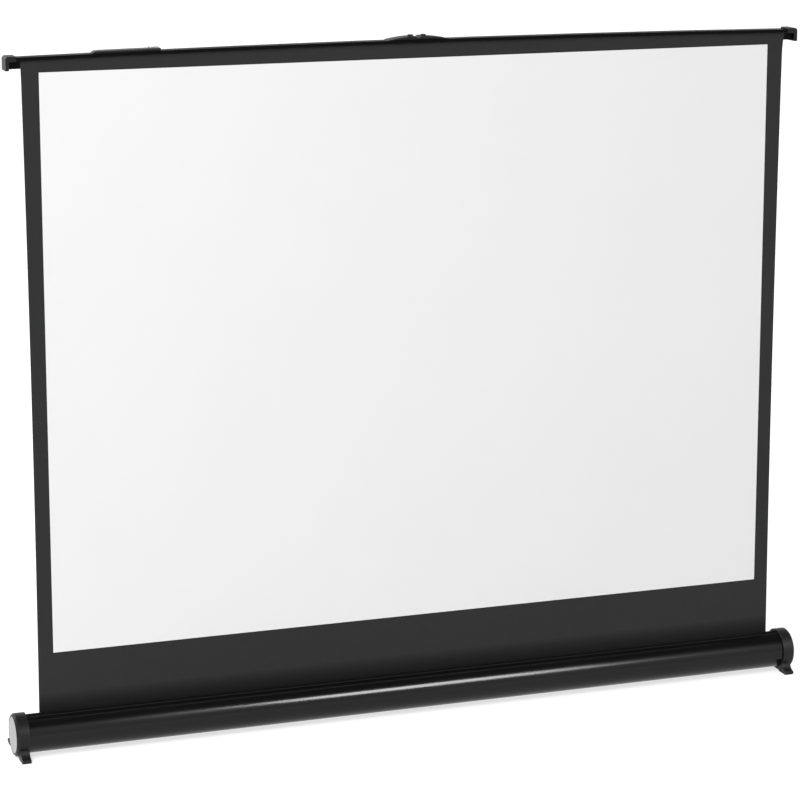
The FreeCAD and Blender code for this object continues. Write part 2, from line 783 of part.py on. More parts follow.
# Top bar: a hollow extrusion that bows upwards. Its nose holds the cloth's rod in a channel and
# hangs over the cloth, which comes out of the slit below.
slit_rear = "fabric_y + slit_width / 2"
slit_front = "fabric_y - slit_width / 2"
channel_mouth = "bow_radius - rod_depth - sqrt(channel_radius^2 - (slit_width / 2)^2)"
bar_foot = "bow_radius - bar_height"
top_bar = bowed(
    "top_bar",
    [
        ("bar_front", "bow_radius - nose_height"),
        (slit_front, "bow_radius - nose_height"),
        (slit_front, channel_mouth, Arc("cw", radius="channel_radius", large=True)),
        (slit_rear, channel_mouth),
        (slit_rear, f"{bar_foot} + bar_corner", Arc("ccw", radius="bar_corner")),
        (f"{slit_rear} + bar_corner", bar_foot),
        ("bar_rear - bar_corner", bar_foot, Arc("ccw", radius="bar_corner")),
        ("bar_rear", f"{bar_foot} + bar_corner"),
        ("bar_rear", "bow_radius - bar_corner", Arc("ccw", radius="bar_corner")),
        ("bar_rear - bar_corner", "bow_radius"),
        ("bar_front + bar_corner", "bow_radius", Arc("ccw", radius="bar_corner")),
        ("bar_front", "bow_radius - bar_corner"),
    ],
    [
        ("fabric_y + channel_radius + bar_wall", f"{bar_foot} + bar_wall"),
        ("bar_rear - bar_wall", f"{bar_foot} + bar_wall"),
        ("bar_rear - bar_wall", "bow_radius - bar_wall"),
        ("fabric_y + channel_radius + bar_wall", "bow_radius - bar_wall"),
    ],
)
bar_middle_y = "(bar_front + bar_rear) / 2 + bar_wall"
cut(
    top_bar, "Z", "bow_radius - 2 * bar_wall", "bow_radius + bar_wall",
    Circle("-screw_spacing / 2", bar_middle_y, "screw_radius + socket_clearance"),
    Circle("screw_spacing / 2", bar_middle_y, "screw_radius + socket_clearance"),
)
bowed("fabric_rod", Circle("fabric_y", "bow_radius - rod_depth", "rod_radius"))


def bar_cap(label, side):
    """A moulded cap on the end of the bar: a plate, a tab over the bar's top and a spigot in its hollow."""
    cap = new_body(label)
    low = "bar_end_top - bar_height - bar_cap_fit - bar_cap_wall"
    high = "bar_end_top + bar_cap_top"
    inner, outer = "bar_half - bar_cap_overlap", "bar_half + bar_cap_floor"
    near, far = f"{side} * ({inner})", f"{side} * ({outer})"
    corner = f"{side} * ({outer} - bar_cap_corner)"
    turn = "ccw" if side > 0 else "cw"
    extrude(
        cap, "Y", "bar_front - bar_cap_fit - bar_cap_wall", "bar_rear + bar_cap_fit + bar_cap_wall",
        [
            (near, low),
            (far, low),
            (far, f"{high} - bar_cap_corner", Arc(turn, radius="bar_cap_corner")),
            (corner, high),
            (near, high),
        ],
    )
    cut(
        cap, "X", *span(side, inner, "bar_half + bar_cap_fit"),
        [
            ("bar_front - bar_cap_fit", "bar_end_top - bar_height - bar_cap_fit"),
            ("bar_rear + bar_cap_fit", "bar_end_top - bar_height - bar_cap_fit"),
            ("bar_rear + bar_cap_fit", "bar_end_top + bar_cap_fit"),
            ("bar_front - bar_cap_fit", "bar_end_top + bar_cap_fit"),
        ],
    )
    cut(
        cap, "X", *span(side, inner, f"{outer} - bar_cap_plate"),
        [
            ("bar_front - bar_cap_fit - bar_cap_wall", low),
            ("bar_rear + bar_cap_fit + bar_cap_wall", low),
            ("bar_rear + bar_cap_fit + bar_cap_wall", "bar_end_top - nose_height"),
            ("bar_front - bar_cap_fit - bar_cap_wall", "bar_end_top - nose_height"),
        ],
    )
    spigot_low = "bar_end_top - bar_height + bar_wall + bar_cap_fit"
    spigot_high = "bar_end_top - bar_wall - bar_cap_fit"
    extrude(
        cap, "X", *span(side, inner, "bar_half + bar_cap_fit + bar_cap_ease"),
        [
            ("fabric_y + channel_radius + bar_wall + bar_cap_ease", spigot_low),
            ("bar_rear - bar_wall - bar_cap_ease", spigot_low),
            ("bar_rear - bar_wall - bar_cap_ease", spigot_high),
            ("fabric_y + channel_radius + bar_wall + bar_cap_ease", spigot_high),
        ],
    )


bar_cap("bar_cap_left", -1)
bar_cap("bar_cap_right", 1)

# Arched bracket screwed on the bar, with a plate and a boss behind it for the stay's upper pivot.
bracket = new_body("stay_top_bracket")
bracket_seat = "bar_centre_top + seat_gap"
plate_front = "bar_rear + seat_gap"
plate_rear = "bar_rear + seat_gap + plate_thickness"
extrude(
    bracket, "Y", "fabric_y", plate_rear,
    [
        ("-arch_length / 2", bracket_seat),
        ("arch_length / 2", bracket_seat, Arc("ccw", rise="arch_rise")),
    ],
)
extrude(
    bracket, "Y", plate_front, plate_rear,
    [
        ("-plate_length / 2 + plate_thickness", "bar_centre_top - bar_height"),
        ("plate_length / 2 - plate_thickness", "bar_centre_top - bar_height"),
        ("plate_length / 2", "bar_centre_top - bar_height + plate_thickness"),
        ("plate_length / 2", f"{bracket_seat} + arch_rise / 4"),
        ("-plate_length / 2", f"{bracket_seat} + arch_rise / 4"),
        ("-plate_length / 2", "bar_centre_top - bar_height + plate_thickness"),
    ],
)
extrude(bracket, "Y", plate_front, "top_boss_face", Circle("0", "top_pivot_z", "top_boss_radius"))
cut(
    bracket, "Y", "fabric_y", plate_rear,
    Circle("0", f"{bracket_seat} + arch_rise + valley_radius - valley_depth", "valley_radius"),
)
screw_seat = f"{bracket_seat} + arch_rise - spot_depth"
cut(
    bracket, "Z", screw_seat, f"{bracket_seat} + 2 * arch_rise",
    Circle("-screw_spacing / 2", bar_middle_y, "screw_head_radius + running_gap"),
    Circle("screw_spacing / 2", bar_middle_y, "screw_head_radius + running_gap"),
)
cut(
    bracket, "Z", "bar_centre_top - bar_wall", screw_seat,
    Circle("-screw_spacing / 2", bar_middle_y, "screw_radius + socket_clearance"),
    Circle("screw_spacing / 2", bar_middle_y, "screw_radius + socket_clearance"),
)

# Screws from the arched bracket down into the bar.
screws = []
for x in ("-screw_spacing / 2", "screw_spacing / 2"):
    tip = "bar_centre_top - 2 * bar_wall"
    shank = round_bar("screw_shank", "Z", (x, bar_middle_y, tip), "screw_radius", f"{screw_seat} - ({tip})")
    head = round_bar("screw_head", "Z", (x, bar_middle_y, screw_seat), "screw_head_radius", "screw_head")
    screws.append(fuse("bracket_screw", shank, head))
group("bracket_screws", *screws)
stud("top_stud", "0", "top_pivot_z", "top_boss_face", "upper_rear + 2 * side_gap + washer_thickness")
washers("top_washers", "0", "top_pivot_z", "top_boss_face", "upper_rear + 2 * side_gap")

# Clip for the folded stay: a strip on the bar with a downward fork behind it, drawn about the
# middle of its seat and then turned to lie along the bow.
clip = new_body("arm_clip")
clip_back = "bar_rear + seat_gap"
extrude(
    clip, "Y", f"{clip_back} - clip_reach", clip_back,
    [
        ("-clip_length / 2", "bow_radius + seat_gap"),
        ("clip_length / 2", "bow_radius + seat_gap"),
        ("clip_length / 2", "bow_radius + seat_gap + clip_thickness"),
        ("-clip_length / 2 + 2 * clip_bevel", "bow_radius + seat_gap + clip_thickness"),
        ("-clip_length / 2", "bow_radius + seat_gap + clip_thickness - clip_bevel"),
    ],
)
fork_top = "bow_radius - bar_height + clip_leg"
fork_roof = "bow_radius - bar_height"
fork_foot = "bow_radius - bar_height - fork_depth"
fork_front = "lower_front - fork_gap"
fork_rear = "lower_rear + fork_gap"
extrude(
    clip, "X", "-fork_length / 2", "fork_length / 2",
    [
        (clip_back, fork_roof),
        (f"{fork_front} - clip_leg", fork_roof),
        (f"{fork_front} - clip_leg", fork_foot),
        (fork_front, fork_foot),
        (fork_front, fork_roof),
        (fork_rear, fork_roof),
        (fork_rear, fork_foot),
        (f"{fork_rear} + clip_leg", fork_foot),
        (f"{fork_rear} + clip_leg", fork_top),
        (f"{clip_back} + clip_leg", fork_top),
        (f"{clip_back} + clip_leg", "bow_radius + seat_gap + clip_thickness"),
        (clip_back, "bow_radius + seat_gap + clip_thickness"),
    ],
)
bind(clip, "Placement.Base.z", "bow_centre_z")
clip.Placement.Rotation = FreeCAD.Rotation(FreeCAD.Vector(0, 1, 0), -1)
bind(clip, "Placement.Rotation.Angle", "clip_turn")

# Bright rivet heads that hold the clip, side by side at the inner end of its strip.
clip_rivets = []
for x in ("clip_right - clip_rivet_inset", "clip_right - clip_rivet_inset - clip_rivet_spacing"):
    seat = f"bow_centre_z + sqrt(bow_radius^2 - ({x})^2) + 3 * seat_gap + clip_thickness"
    clip_rivets.append(round_bar("clip_rivet", "Z", (x, f"{clip_back} - clip_reach / 2", seat),
                                 "clip_rivet_radius", "rivet_head"))
group("clip_rivets", *clip_rivets)

doc.recompute()

failed = [thing.Label for thing in doc.Objects if {"Invalid", "Error"} & set(thing.State)]
failed += [thing.Label for thing in NODES if thing.Shape.isNull() or not thing.Shape.isValid()]
if failed:
    raise RuntimeError(f"these pieces did not build: {failed}")
os.makedirs("parts", exist_ok=True)
for thing in NODES:
    thing.Shape.exportStep(f"parts/{thing.Label}.step")
print(f"{len(NODES)} nodes written")
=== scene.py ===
import bpy
import bmesh
import math
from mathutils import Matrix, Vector


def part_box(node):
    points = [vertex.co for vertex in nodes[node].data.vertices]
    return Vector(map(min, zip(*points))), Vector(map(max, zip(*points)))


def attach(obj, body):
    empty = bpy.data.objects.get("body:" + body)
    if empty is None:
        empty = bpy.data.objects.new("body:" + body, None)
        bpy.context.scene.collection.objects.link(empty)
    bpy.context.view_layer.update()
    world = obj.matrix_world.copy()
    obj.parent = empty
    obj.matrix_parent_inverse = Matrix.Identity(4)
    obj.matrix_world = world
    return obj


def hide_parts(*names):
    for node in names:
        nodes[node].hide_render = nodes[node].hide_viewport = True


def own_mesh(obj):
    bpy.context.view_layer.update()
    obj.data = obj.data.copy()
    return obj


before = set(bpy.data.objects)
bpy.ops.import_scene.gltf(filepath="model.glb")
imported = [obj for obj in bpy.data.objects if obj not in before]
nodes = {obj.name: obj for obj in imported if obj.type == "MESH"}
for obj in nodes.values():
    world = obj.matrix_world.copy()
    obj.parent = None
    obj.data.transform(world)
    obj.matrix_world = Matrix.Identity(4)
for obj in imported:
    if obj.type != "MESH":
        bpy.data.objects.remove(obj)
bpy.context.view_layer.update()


# Case tube: the long round housing, an aluminium extrusion anodised gloss black and open along its top.
# It is pushed into both end caps. Drawing leaves faint lines along it, and handling a thin cloudy film.
def shader_group(name, inputs, outputs):
    """A node group with float inputs, given with their defaults, and named outputs."""
    group = bpy.data.node_groups.new(name, "ShaderNodeTree")
    for title, default in inputs.items():
        socket = group.interface.new_socket(title, in_out="INPUT", socket_type="NodeSocketFloat")
        socket.default_value = default
    for title, kind in outputs.items():
        group.interface.new_socket(title, in_out="OUTPUT", socket_type=kind)
    return group, group.nodes.new("NodeGroupInput"), group.nodes.new("NodeGroupOutput")


def link(tree, source, target):
    tree.links.new(source, target)


def add_node(tree, kind, **settings):
    node = tree.nodes.new(kind)
    for key, setting in settings.items():
        setattr(node, key, setting)
    return node


def remap(tree, source, low, high, to_low, to_high):
    """A map range node on one value."""
    node = add_node(tree, "ShaderNodeMapRange")
    for title, number in (("From Min", low), ("From Max", high), ("To Min", to_low), ("To Max", to_high)):
        node.inputs[title].default_value = number
    link(tree, source, node.inputs["Value"])
    return node.outputs["Result"]


def multiply(tree, first, second):
    node = add_node(tree, "ShaderNodeMath", operation="MULTIPLY")
    link(tree, first, node.inputs[0])
    link(tree, second, node.inputs[1])
    return node.outputs["Value"]


def mottle_group():
    """Soft cloudy variation at one scale and finer specks at another, as two values round 0.5."""
    group, given, result = shader_group(
        "mottle", {"Cloud Scale": 9.0, "Speck Scale": 900.0},
        {"Cloud": "NodeSocketFloat", "Speck": "NodeSocketFloat"},
    )
    place = add_node(group, "ShaderNodeTexCoord")
    for title, detail in (("Cloud", 4.0), ("Speck", 2.0)):
        noise = add_node(group, "ShaderNodeTexNoise")
        noise.inputs["Detail"].default_value = detail
        link(group, place.outputs["Object"], noise.inputs["Vector"])
        link(group, given.outputs[f"{title} Scale"], noise.inputs["Scale"])
        link(group, noise.outputs["Fac"], result.inputs[title])
    return group


def drawn_group():
    """Fine lines along X, such as a die leaves on an extrusion."""
    group, given, result = shader_group(
        "drawn_lines", {"Line Scale": 700.0, "Stretch": 0.004}, {"Lines": "NodeSocketFloat"},
    )
    place = add_node(group, "ShaderNodeTexCoord")
    stretch = add_node(group, "ShaderNodeCombineXYZ")
    link(group, given.outputs["Stretch"], stretch.inputs["X"])
    stretch.inputs["Y"].default_value = 1.0
    stretch.inputs["Z"].default_value = 1.0
    scaled = add_node(group, "ShaderNodeVectorMath", operation="MULTIPLY")
    link(group, place.outputs["Object"], scaled.inputs[0])
    link(group, stretch.outputs["Vector"], scaled.inputs[1])
    noise = add_node(group, "ShaderNodeTexNoise")
    noise.inputs["Detail"].default_value = 3.0
    link(group, scaled.outputs["Vector"], noise.inputs["Vector"])
    link(group, given.outputs["Line Scale"], noise.inputs["Scale"])
    link(group, noise.outputs["Fac"], result.inputs["Lines"])
    return group


mottle = mottle_group()
drawn_lines = drawn_group()


def new_material(name):
    material = bpy.data.materials.new(name)
    material.use_nodes = True
    return material, material.node_tree, material.node_tree.nodes["Principled BSDF"]


def use_group(tree, group, **values):
    node = add_node(tree, "ShaderNodeGroup", node_tree=group)
    for title, number in values.items():
        node.inputs[title.replace("_", " ")].default_value = number
    return node


def two_tone(tree, factor, dark, light):
    """A colour that runs between two linear colours by a value."""
    mix = add_node(tree, "ShaderNodeMix", data_type="RGBA")
    mix.inputs["A"].default_value = (*dark, 1)
    mix.inputs["B"].default_value = (*light, 1)
    link(tree, factor, mix.inputs["Factor"])
    return mix.outputs["Result"]


def bump(tree, surface, height, distance, under=None):
    """Fine relief on a surface, over a normal that is already there."""
    node = add_node(tree, "ShaderNodeBump")
    node.inputs["Distance"].default_value = distance
    link(tree, height, node.inputs["Height"])
    if under:
        link(tree, under, node.inputs["Normal"])
    link(tree, node.outputs["Normal"], surface.inputs["Normal"])


NOISE_LOW = 0.3
NOISE_HIGH = 0.7


def vary_roughness(tree, surface, mask, smooth, rough):
    """Roughness that runs between two values by a noise mask, over the levels where most noise lies."""
    link(tree, remap(tree, mask, NOISE_LOW, NOISE_HIGH, smooth, rough), surface.inputs["Roughness"])


def finish_nodes(material, *names):
    """Gives CAD nodes their material."""
    for name in names:
        slots = nodes[name].data.materials
        slots.clear()
        slots.append(material)


DRAWN_DEPTH = 0.00002


def gloss_extrusion():
    material, tree, surface = new_material("gloss_case_black")
    surface.inputs["Specular IOR Level"].default_value = 0.24
    film = use_group(tree, mottle, Cloud_Scale=7.0, Speck_Scale=1400.0)
    lines = use_group(tree, drawn_lines)
    dark, light = (0.0024, 0.0024, 0.0026), (0.0044, 0.0044, 0.0047)
    link(tree, two_tone(tree, film.outputs["Cloud"], dark, light), surface.inputs["Base Color"])
    vary_roughness(tree, surface, film.outputs["Cloud"], smooth=0.15, rough=0.2)
    bump(tree, surface, lines.outputs["Lines"], DRAWN_DEPTH)
    return material


finish_nodes(gloss_extrusion(), "case_tube")


# Slot lips: soft black strips pushed on both edges of the slot, where the cloth rubs on them.
# They are dull, with a fine grain.
GRAIN_SPREAD = 0.07


def dull_black(name, dark, light, rough, grain_scale, grain_depth):
    """Matte black rubber with a fine pebbled grain and cloudy shade."""
    material, tree, surface = new_material(name)
    surface.inputs["Specular IOR Level"].default_value = 0.2
    cloud = use_group(tree, mottle, Cloud_Scale=14.0, Speck_Scale=grain_scale)
    link(tree, two_tone(tree, cloud.outputs["Cloud"], dark, light), surface.inputs["Base Color"])
    vary_roughness(tree, surface, cloud.outputs["Speck"], rough - GRAIN_SPREAD, rough + GRAIN_SPREAD)
    bump(tree, surface, cloud.outputs["Speck"], grain_depth)
    return material


lip_strip = dull_black(
    "lip_strip_black", (0.004, 0.004, 0.004), (0.008, 0.008, 0.008),
    rough=0.55, grain_scale=1200.0, grain_depth=0.00006,
)
finish_nodes(lip_strip, "slot_lip_front", "slot_lip_rear")


# End caps: black moulded plastic, each in one piece with its splayed foot and pushed over the tube's end.
# The mould's grain is fine, the corners are a little round, and they are painted paler: partly rubbing that
# has polished them, partly a painted highlight.
FLAT_AGREEMENT = 0.985
CORNER_AGREEMENT = 0.85
PATCH_LOW = 0.4
PATCH_HIGH = 0.65
LEAST_PALE_SHARE = 0.15


def wear_and_highlight_edge_group():
    """Rounded corners as a normal, and an uneven mask of where they turn paler: rubbed wear and a painted
    highlight.
    """
    group, given, result = shader_group(
        "edge_wear_and_highlight", {"Radius": 0.0006, "Patch Scale": 90.0},
        {"Normal": "NodeSocketVector", "Wear And Highlight": "NodeSocketFloat"},
    )
    corner = add_node(group, "ShaderNodeBevel", samples=8)
    link(group, given.outputs["Radius"], corner.inputs["Radius"])
    link(group, corner.outputs["Normal"], result.inputs["Normal"])
    face = add_node(group, "ShaderNodeNewGeometry")
    agreement = add_node(group, "ShaderNodeVectorMath", operation="DOT_PRODUCT")
    link(group, corner.outputs["Normal"], agreement.inputs[0])
    link(group, face.outputs["Normal"], agreement.inputs[1])
    edge = remap(group, agreement.outputs["Value"], FLAT_AGREEMENT, CORNER_AGREEMENT, 0.0, 1.0)
    place = add_node(group, "ShaderNodeTexCoord")
    patches = add_node(group, "ShaderNodeTexNoise")
    link(group, place.outputs["Object"], patches.inputs["Vector"])
    link(group, given.outputs["Patch Scale"], patches.inputs["Scale"])
    paler_share = remap(group, patches.outputs["Fac"], PATCH_LOW, PATCH_HIGH, LEAST_PALE_SHARE, 1.0)
    link(group, multiply(group, edge, paler_share), result.inputs["Wear And Highlight"])
    return group


edge_wear_and_highlight = wear_and_highlight_edge_group()


def rubbed_and_highlit_colour(tree, edges, colour, pale):
    """A colour that turns paler along the corners, as rubbed wear and a painted highlight."""
    mix = add_node(tree, "ShaderNodeMix", data_type="RGBA")
    mix.inputs["B"].default_value = (*pale, 1)
    link(tree, colour, mix.inputs["A"])
    link(tree, edges.outputs["Wear And Highlight"], mix.inputs["Factor"])
    return mix.outputs["Result"]


def coated(name, dark, light, pale, gloss, rough, grain_scale, grain_depth, corner):
    """Grained moulding or coating: cloudy shade, fine relief, and round corners painted paler, as wear and a
    painted highlight.
    """
    material, tree, surface = new_material(name)
    surface.inputs["Specular IOR Level"].default_value = gloss
    cloud = use_group(tree, mottle, Cloud_Scale=16.0, Speck_Scale=grain_scale)
    edges = use_group(tree, edge_wear_and_highlight, Radius=corner)
    shade = two_tone(tree, cloud.outputs["Cloud"], dark, light)
    link(tree, rubbed_and_highlit_colour(tree, edges, shade, pale), surface.inputs["Base Color"])
    vary_roughness(tree, surface, cloud.outputs["Speck"], rough - GRAIN_SPREAD, rough + GRAIN_SPREAD)
    bump(tree, surface, cloud.outputs["Speck"], grain_depth, under=edges.outputs["Normal"])
    return material


# The third colour is that of the paler corners: rubbed wear and a painted highlight.
moulded_black = coated(
    "moulded_black", (0.006, 0.006, 0.0063), (0.011, 0.011, 0.0114), (0.07, 0.07, 0.07),
    gloss=0.2, rough=0.44, grain_scale=1500.0, grain_depth=0.00007, corner=0.0012,
)
finish_nodes(moulded_black, "end_cap_left", "end_cap_right")


# Pale discs: satin grey plastic inlays, pressed into the recess in each cap's outer face.
# Their shade is slightly cloudy and the surface has a fine grain.
SATIN_SPREAD = 0.06
SATIN_GRAIN_DEPTH = 0.00003


def pale_satin(name, dark, light, rough):
    material, tree, surface = new_material(name)
    cloud = use_group(tree, mottle, Cloud_Scale=30.0, Speck_Scale=1800.0)
    link(tree, two_tone(tree, cloud.outputs["Cloud"], dark, light), surface.inputs["Base Color"])
    vary_roughness(tree, surface, cloud.outputs["Cloud"], rough - SATIN_SPREAD, rough + SATIN_SPREAD)
    bump(tree, surface, cloud.outputs["Speck"], SATIN_GRAIN_DEPTH)
    return material


disc_grey = pale_satin("disc_grey", (0.33, 0.337, 0.345), (0.41, 0.417, 0.425), rough=0.42)
finish_nodes(disc_grey, "end_disc_left", "end_disc_right")

# Foot pads: black rubber, stuck under the toe and the heel of both feet so that the case does not slide.
# Rubber is the dullest black on the case, with a coarse grain.
pad_rubber = dull_black(
    "pad_rubber", (0.01, 0.01, 0.01), (0.016, 0.016, 0.016),
    rough=0.78, grain_scale=700.0, grain_depth=0.00012,
)
finish_nodes(pad_rubber, "foot_pads")


# Roller inside the case: a drawn aluminium tube on white nylon plugs. A steel arbor fixed in the left cap
# holds the spring, and a gudgeon turns in a bush in the right one.
def bare_metal(name, dark, light, smooth, rough):
    """Bare or zinc-plated metal with drawn lines and a cloudy bloom."""
    material, tree, surface = new_material(name)
    surface.inputs["Metallic"].default_value = 1.0
    bloom = use_group(tree, mottle, Cloud_Scale=60.0, Speck_Scale=2000.0)
    lines = use_group(tree, drawn_lines, Line_Scale=1500.0, Stretch=0.05)
    link(tree, two_tone(tree, bloom.outputs["Cloud"], dark, light), surface.inputs["Base Color"])
    vary_roughness(tree, surface, bloom.outputs["Cloud"], smooth, rough)
    bump(tree, surface, lines.outputs["Lines"], DRAWN_DEPTH)
    return material


drawn_aluminium = bare_metal(
    "drawn_aluminium", (0.62, 0.62, 0.63), (0.74, 0.74, 0.75), smooth=0.28, rough=0.42,
)
spring_steel = bare_metal("spring_steel", (0.2, 0.19, 0.18), (0.34, 0.33, 0.31), smooth=0.3, rough=0.48)
zinc = bare_metal("zinc_plate", (0.5, 0.5, 0.5), (0.66, 0.66, 0.65), smooth=0.25, rough=0.4)
nylon = pale_satin("white_nylon", (0.66, 0.66, 0.63), (0.76, 0.76, 0.73), rough=0.45)
finish_nodes(drawn_aluminium, "roller_tube")
finish_nodes(spring_steel, "torsion_spring")
finish_nodes(zinc, "spring_arbor", "idle_gudgeon")
finish_nodes(nylon, "roller_plug_left", "roller_plug_right", "idle_bush")


# Screen cloth: black coated cloth of a fine plain weave, wound on the roller and stretched from there to
# the bar, where a rod holds its top hem. It is drawn in a little at its free edges. The white viewing
# surface is a matt coating on its front.
def weave_group():
    """Plain weave: two sets of fine threads across each other, as a height."""
    group, given, result = shader_group("plain_weave", {"Threads": 800.0}, {"Weave": "NodeSocketFloat"})
    place = add_node(group, "ShaderNodeTexCoord")
    threads = []
    for direction in ("X", "Z"):
        wave = add_node(group, "ShaderNodeTexWave", wave_type="BANDS", bands_direction=direction)
        wave.inputs["Distortion"].default_value = 0.6
        link(group, place.outputs["Object"], wave.inputs["Vector"])
        link(group, given.outputs["Threads"], wave.inputs["Scale"])
        threads.append(wave.outputs["Fac"])
    link(group, multiply(group, *threads), result.inputs["Weave"])
    return group


plain_weave = weave_group()


# The cloth's colour is painted darker just over the slot, as painted shade where the lips keep light out.
slot_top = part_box("slot_lip_front")[1][2]
PAINTED_SHADE_DEPTH = 0.002
PAINTED_SHADE_HEIGHT = 0.028


def painted_slot_shade(tree, colour, painted_shade_colour):
    """A colour painted down to a deeper one just over the slot: painted shade, where little light gets
    between the lips.
    """
    place = add_node(tree, "ShaderNodeTexCoord")
    height = add_node(tree, "ShaderNodeSeparateXYZ")
    link(tree, place.outputs["Object"], height.inputs["Vector"])
    mix = add_node(tree, "ShaderNodeMix", data_type="RGBA")
    mix.inputs["A"].default_value = (*painted_shade_colour, 1)
    link(tree, colour, mix.inputs["B"])
    shade_low, shade_high = slot_top - PAINTED_SHADE_DEPTH, slot_top + PAINTED_SHADE_HEIGHT
    open_share = remap(tree, height.outputs["Z"], shade_low, shade_high, 0.0, 1.0)
    link(tree, multiply(tree, open_share, open_share), mix.inputs["Factor"])
    return mix.outputs["Result"]


WEAVE_SPREAD = 0.05


def cloth(name, dark, light, painted_shade_colour, rough, thread_depth, sheen):
    """Coated cloth: the weave in low relief under the coating, a slightly cloudy shade, and painted shade
    just over the slot.
    """
    material, tree, surface = new_material(name)
    surface.inputs["Sheen Weight"].default_value = sheen
    surface.inputs["Specular IOR Level"].default_value = 0.2
    cloud = use_group(tree, mottle, Cloud_Scale=5.0, Speck_Scale=500.0)
    weave = use_group(tree, plain_weave)
    shade = two_tone(tree, cloud.outputs["Cloud"], dark, light)
    link(tree, painted_slot_shade(tree, shade, painted_shade_colour), surface.inputs["Base Color"])
    vary_roughness(tree, surface, cloud.outputs["Speck"], rough - WEAVE_SPREAD, rough + WEAVE_SPREAD)
    bump(tree, surface, weave.outputs["Weave"], thread_depth)
    return material


# The third colour of each cloth is the painted shade just over the slot.
black_cloth = cloth(
    "black_coated_cloth", (0.0185, 0.0185, 0.0188), (0.0235, 0.0235, 0.0238), (0.001, 0.001, 0.001),
    rough=0.72, thread_depth=0.00008, sheen=0.05,
)
white_coating = cloth(
    "white_projection_coating", (0.735, 0.735, 0.735), (0.76, 0.76, 0.76), (0.7, 0.7, 0.7),
    rough=0.85, thread_depth=0.00003, sheen=0.0,
)


SHARP_ANGLE = math.radians(30)


def sheet_mesh(name, place, columns, rows, thickness, material):
    """A sheet of quads on a grid of points, given its thickness behind them and smooth shading."""
    mesh = bpy.data.meshes.new(name)
    work = bmesh.new()
    grid = [
        [work.verts.new(place(column / columns, row / rows)) for column in range(columns + 1)]
        for row in range(rows + 1)
    ]
    for low, high in zip(grid, grid[1:]):
        for c in range(columns):
            work.faces.new((low[c], low[c + 1], high[c + 1], high[c]))
    work.to_mesh(mesh)
    work.free()
    mesh.materials.append(material)
    mesh.shade_smooth()
    piece = bpy.data.objects.new(name, mesh)
    bpy.context.collection.objects.link(piece)
    solid = piece.modifiers.new("thickness", "SOLIDIFY")
    solid.thickness = thickness
    solid.offset = -1
    bpy.context.view_layer.update()
    evaluated = piece.evaluated_get(bpy.context.evaluated_depsgraph_get())
    thick = bpy.data.meshes.new_from_object(evaluated)
    piece.modifiers.clear()
    thick.set_sharp_from_angle(angle=SHARP_ANGLE)
    piece.data = thick
    return piece


wound_low, wound_high = (Vector(corner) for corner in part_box("fabric_winding"))
roller_low, roller_high = (Vector(corner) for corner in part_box("roller_tube"))
cloth_low, cloth_high = (Vector(corner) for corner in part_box("screen_fabric"))
white_low, white_high = (Vector(corner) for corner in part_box("viewing_surface"))
WOUND_THICKNESS = 0.0003
WOUND_TURNS = 1.8
CLOTH_THICKNESS = 0.0005
COATING_THICKNESS = 0.0002
EDGE_WAIST = 0.002
EDGE_FLARE_LEFT = 0.0006
EDGE_FLARE_RIGHT = 0.003
FLARE_SHARE = 0.03
BAR_BOW = 0.0044
wound_inside = (roller_high.z - roller_low.z) / 2 + WOUND_THICKNESS
wound_outside = (wound_high.z - wound_low.z) / 2
wound_axis = (wound_low + wound_high) / 2


def wound_point(column, row):
    """The cloth left on the roller, from its inner end to where it leaves at the front."""
    angle = (row - 1) * WOUND_TURNS * 2 * math.pi
    radius = wound_inside + (wound_outside - wound_inside) * row
    x = wound_low.x + (wound_high.x - wound_low.x) * column
    return (x, wound_axis.y - radius * math.cos(angle), wound_axis.z + radius * math.sin(angle))


def black_point(column, row):
    """The stretched cloth: flared under the bar, drawn in below it, and bowed with the bar at its top."""
    across = 2 * column - 1
    half = cloth_high.x - EDGE_WAIST * (1 - row) - EDGE_WAIST * 4 * row * (1 - row)
    flare = EDGE_FLARE_LEFT + (EDGE_FLARE_RIGHT - EDGE_FLARE_LEFT) * column
    half += flare * max(0, 1 - (1 - row) / FLARE_SHARE) ** 2
    top = cloth_high.z - BAR_BOW * across**2
    return (across * half, cloth_low.y, cloth_low.z + (top - cloth_low.z) * row)


def white_point(column, row):
    x = white_low.x + (white_high.x - white_low.x) * column
    return (x, white_low.y, white_low.z + (white_high.z - white_low.z) * row)


wound_cloth = sheet_mesh(
    "wound_cloth", wound_point, columns=8, rows=150, thickness=WOUND_THICKNESS, material=black_cloth,
)
screen_cloth = sheet_mesh(
    "screen_cloth", black_point, columns=96, rows=80, thickness=CLOTH_THICKNESS, material=black_cloth,
)
white_area = sheet_mesh(
    "white_area", white_point, columns=96, rows=80, thickness=COATING_THICKNESS, material=white_coating,
)
for piece, body, node, slot in (
    (wound_cloth, "roller", "fabric_winding", "black_fabric"),
    (screen_cloth, "case", "screen_fabric", "black_fabric"),
    (white_area, "case", "viewing_surface", "white_surface"),
):
    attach(piece, body)
    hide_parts(node)
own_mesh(screen_cloth)
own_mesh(white_area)
finish_nodes(nylon, "fabric_rod")

# Saddle behind the case: a black powder-coated steel bracket, held by two zinc-plated rivets.
# Its zinc-plated stud carries the stay between nylon washers.
# The third colour is that of the paler corners: rubbed wear and a painted highlight.
coated_steel = coated(
    "powder_coat_black", (0.013, 0.013, 0.0134), (0.02, 0.02, 0.0204), (0.06, 0.06, 0.06),
    gloss=0.4, rough=0.42, grain_scale=650.0, grain_depth=0.0001, corner=0.0006,
)
finish_nodes(coated_steel, "stay_base_bracket")
finish_nodes(zinc, "base_rivets", "base_stud")
finish_nodes(nylon, "base_washers")

# Folding stay: two pressed steel channels with the same black powder coat, pinned together at the knee.
# Nylon spacers keep the channels open round their pins.
finish_nodes(coated_steel, "lower_arm", "upper_arm")
finish_nodes(zinc, "knee_pin")
finish_nodes(nylon, "knee_washers", "base_spacer", "knee_spacer", "top_spacer")


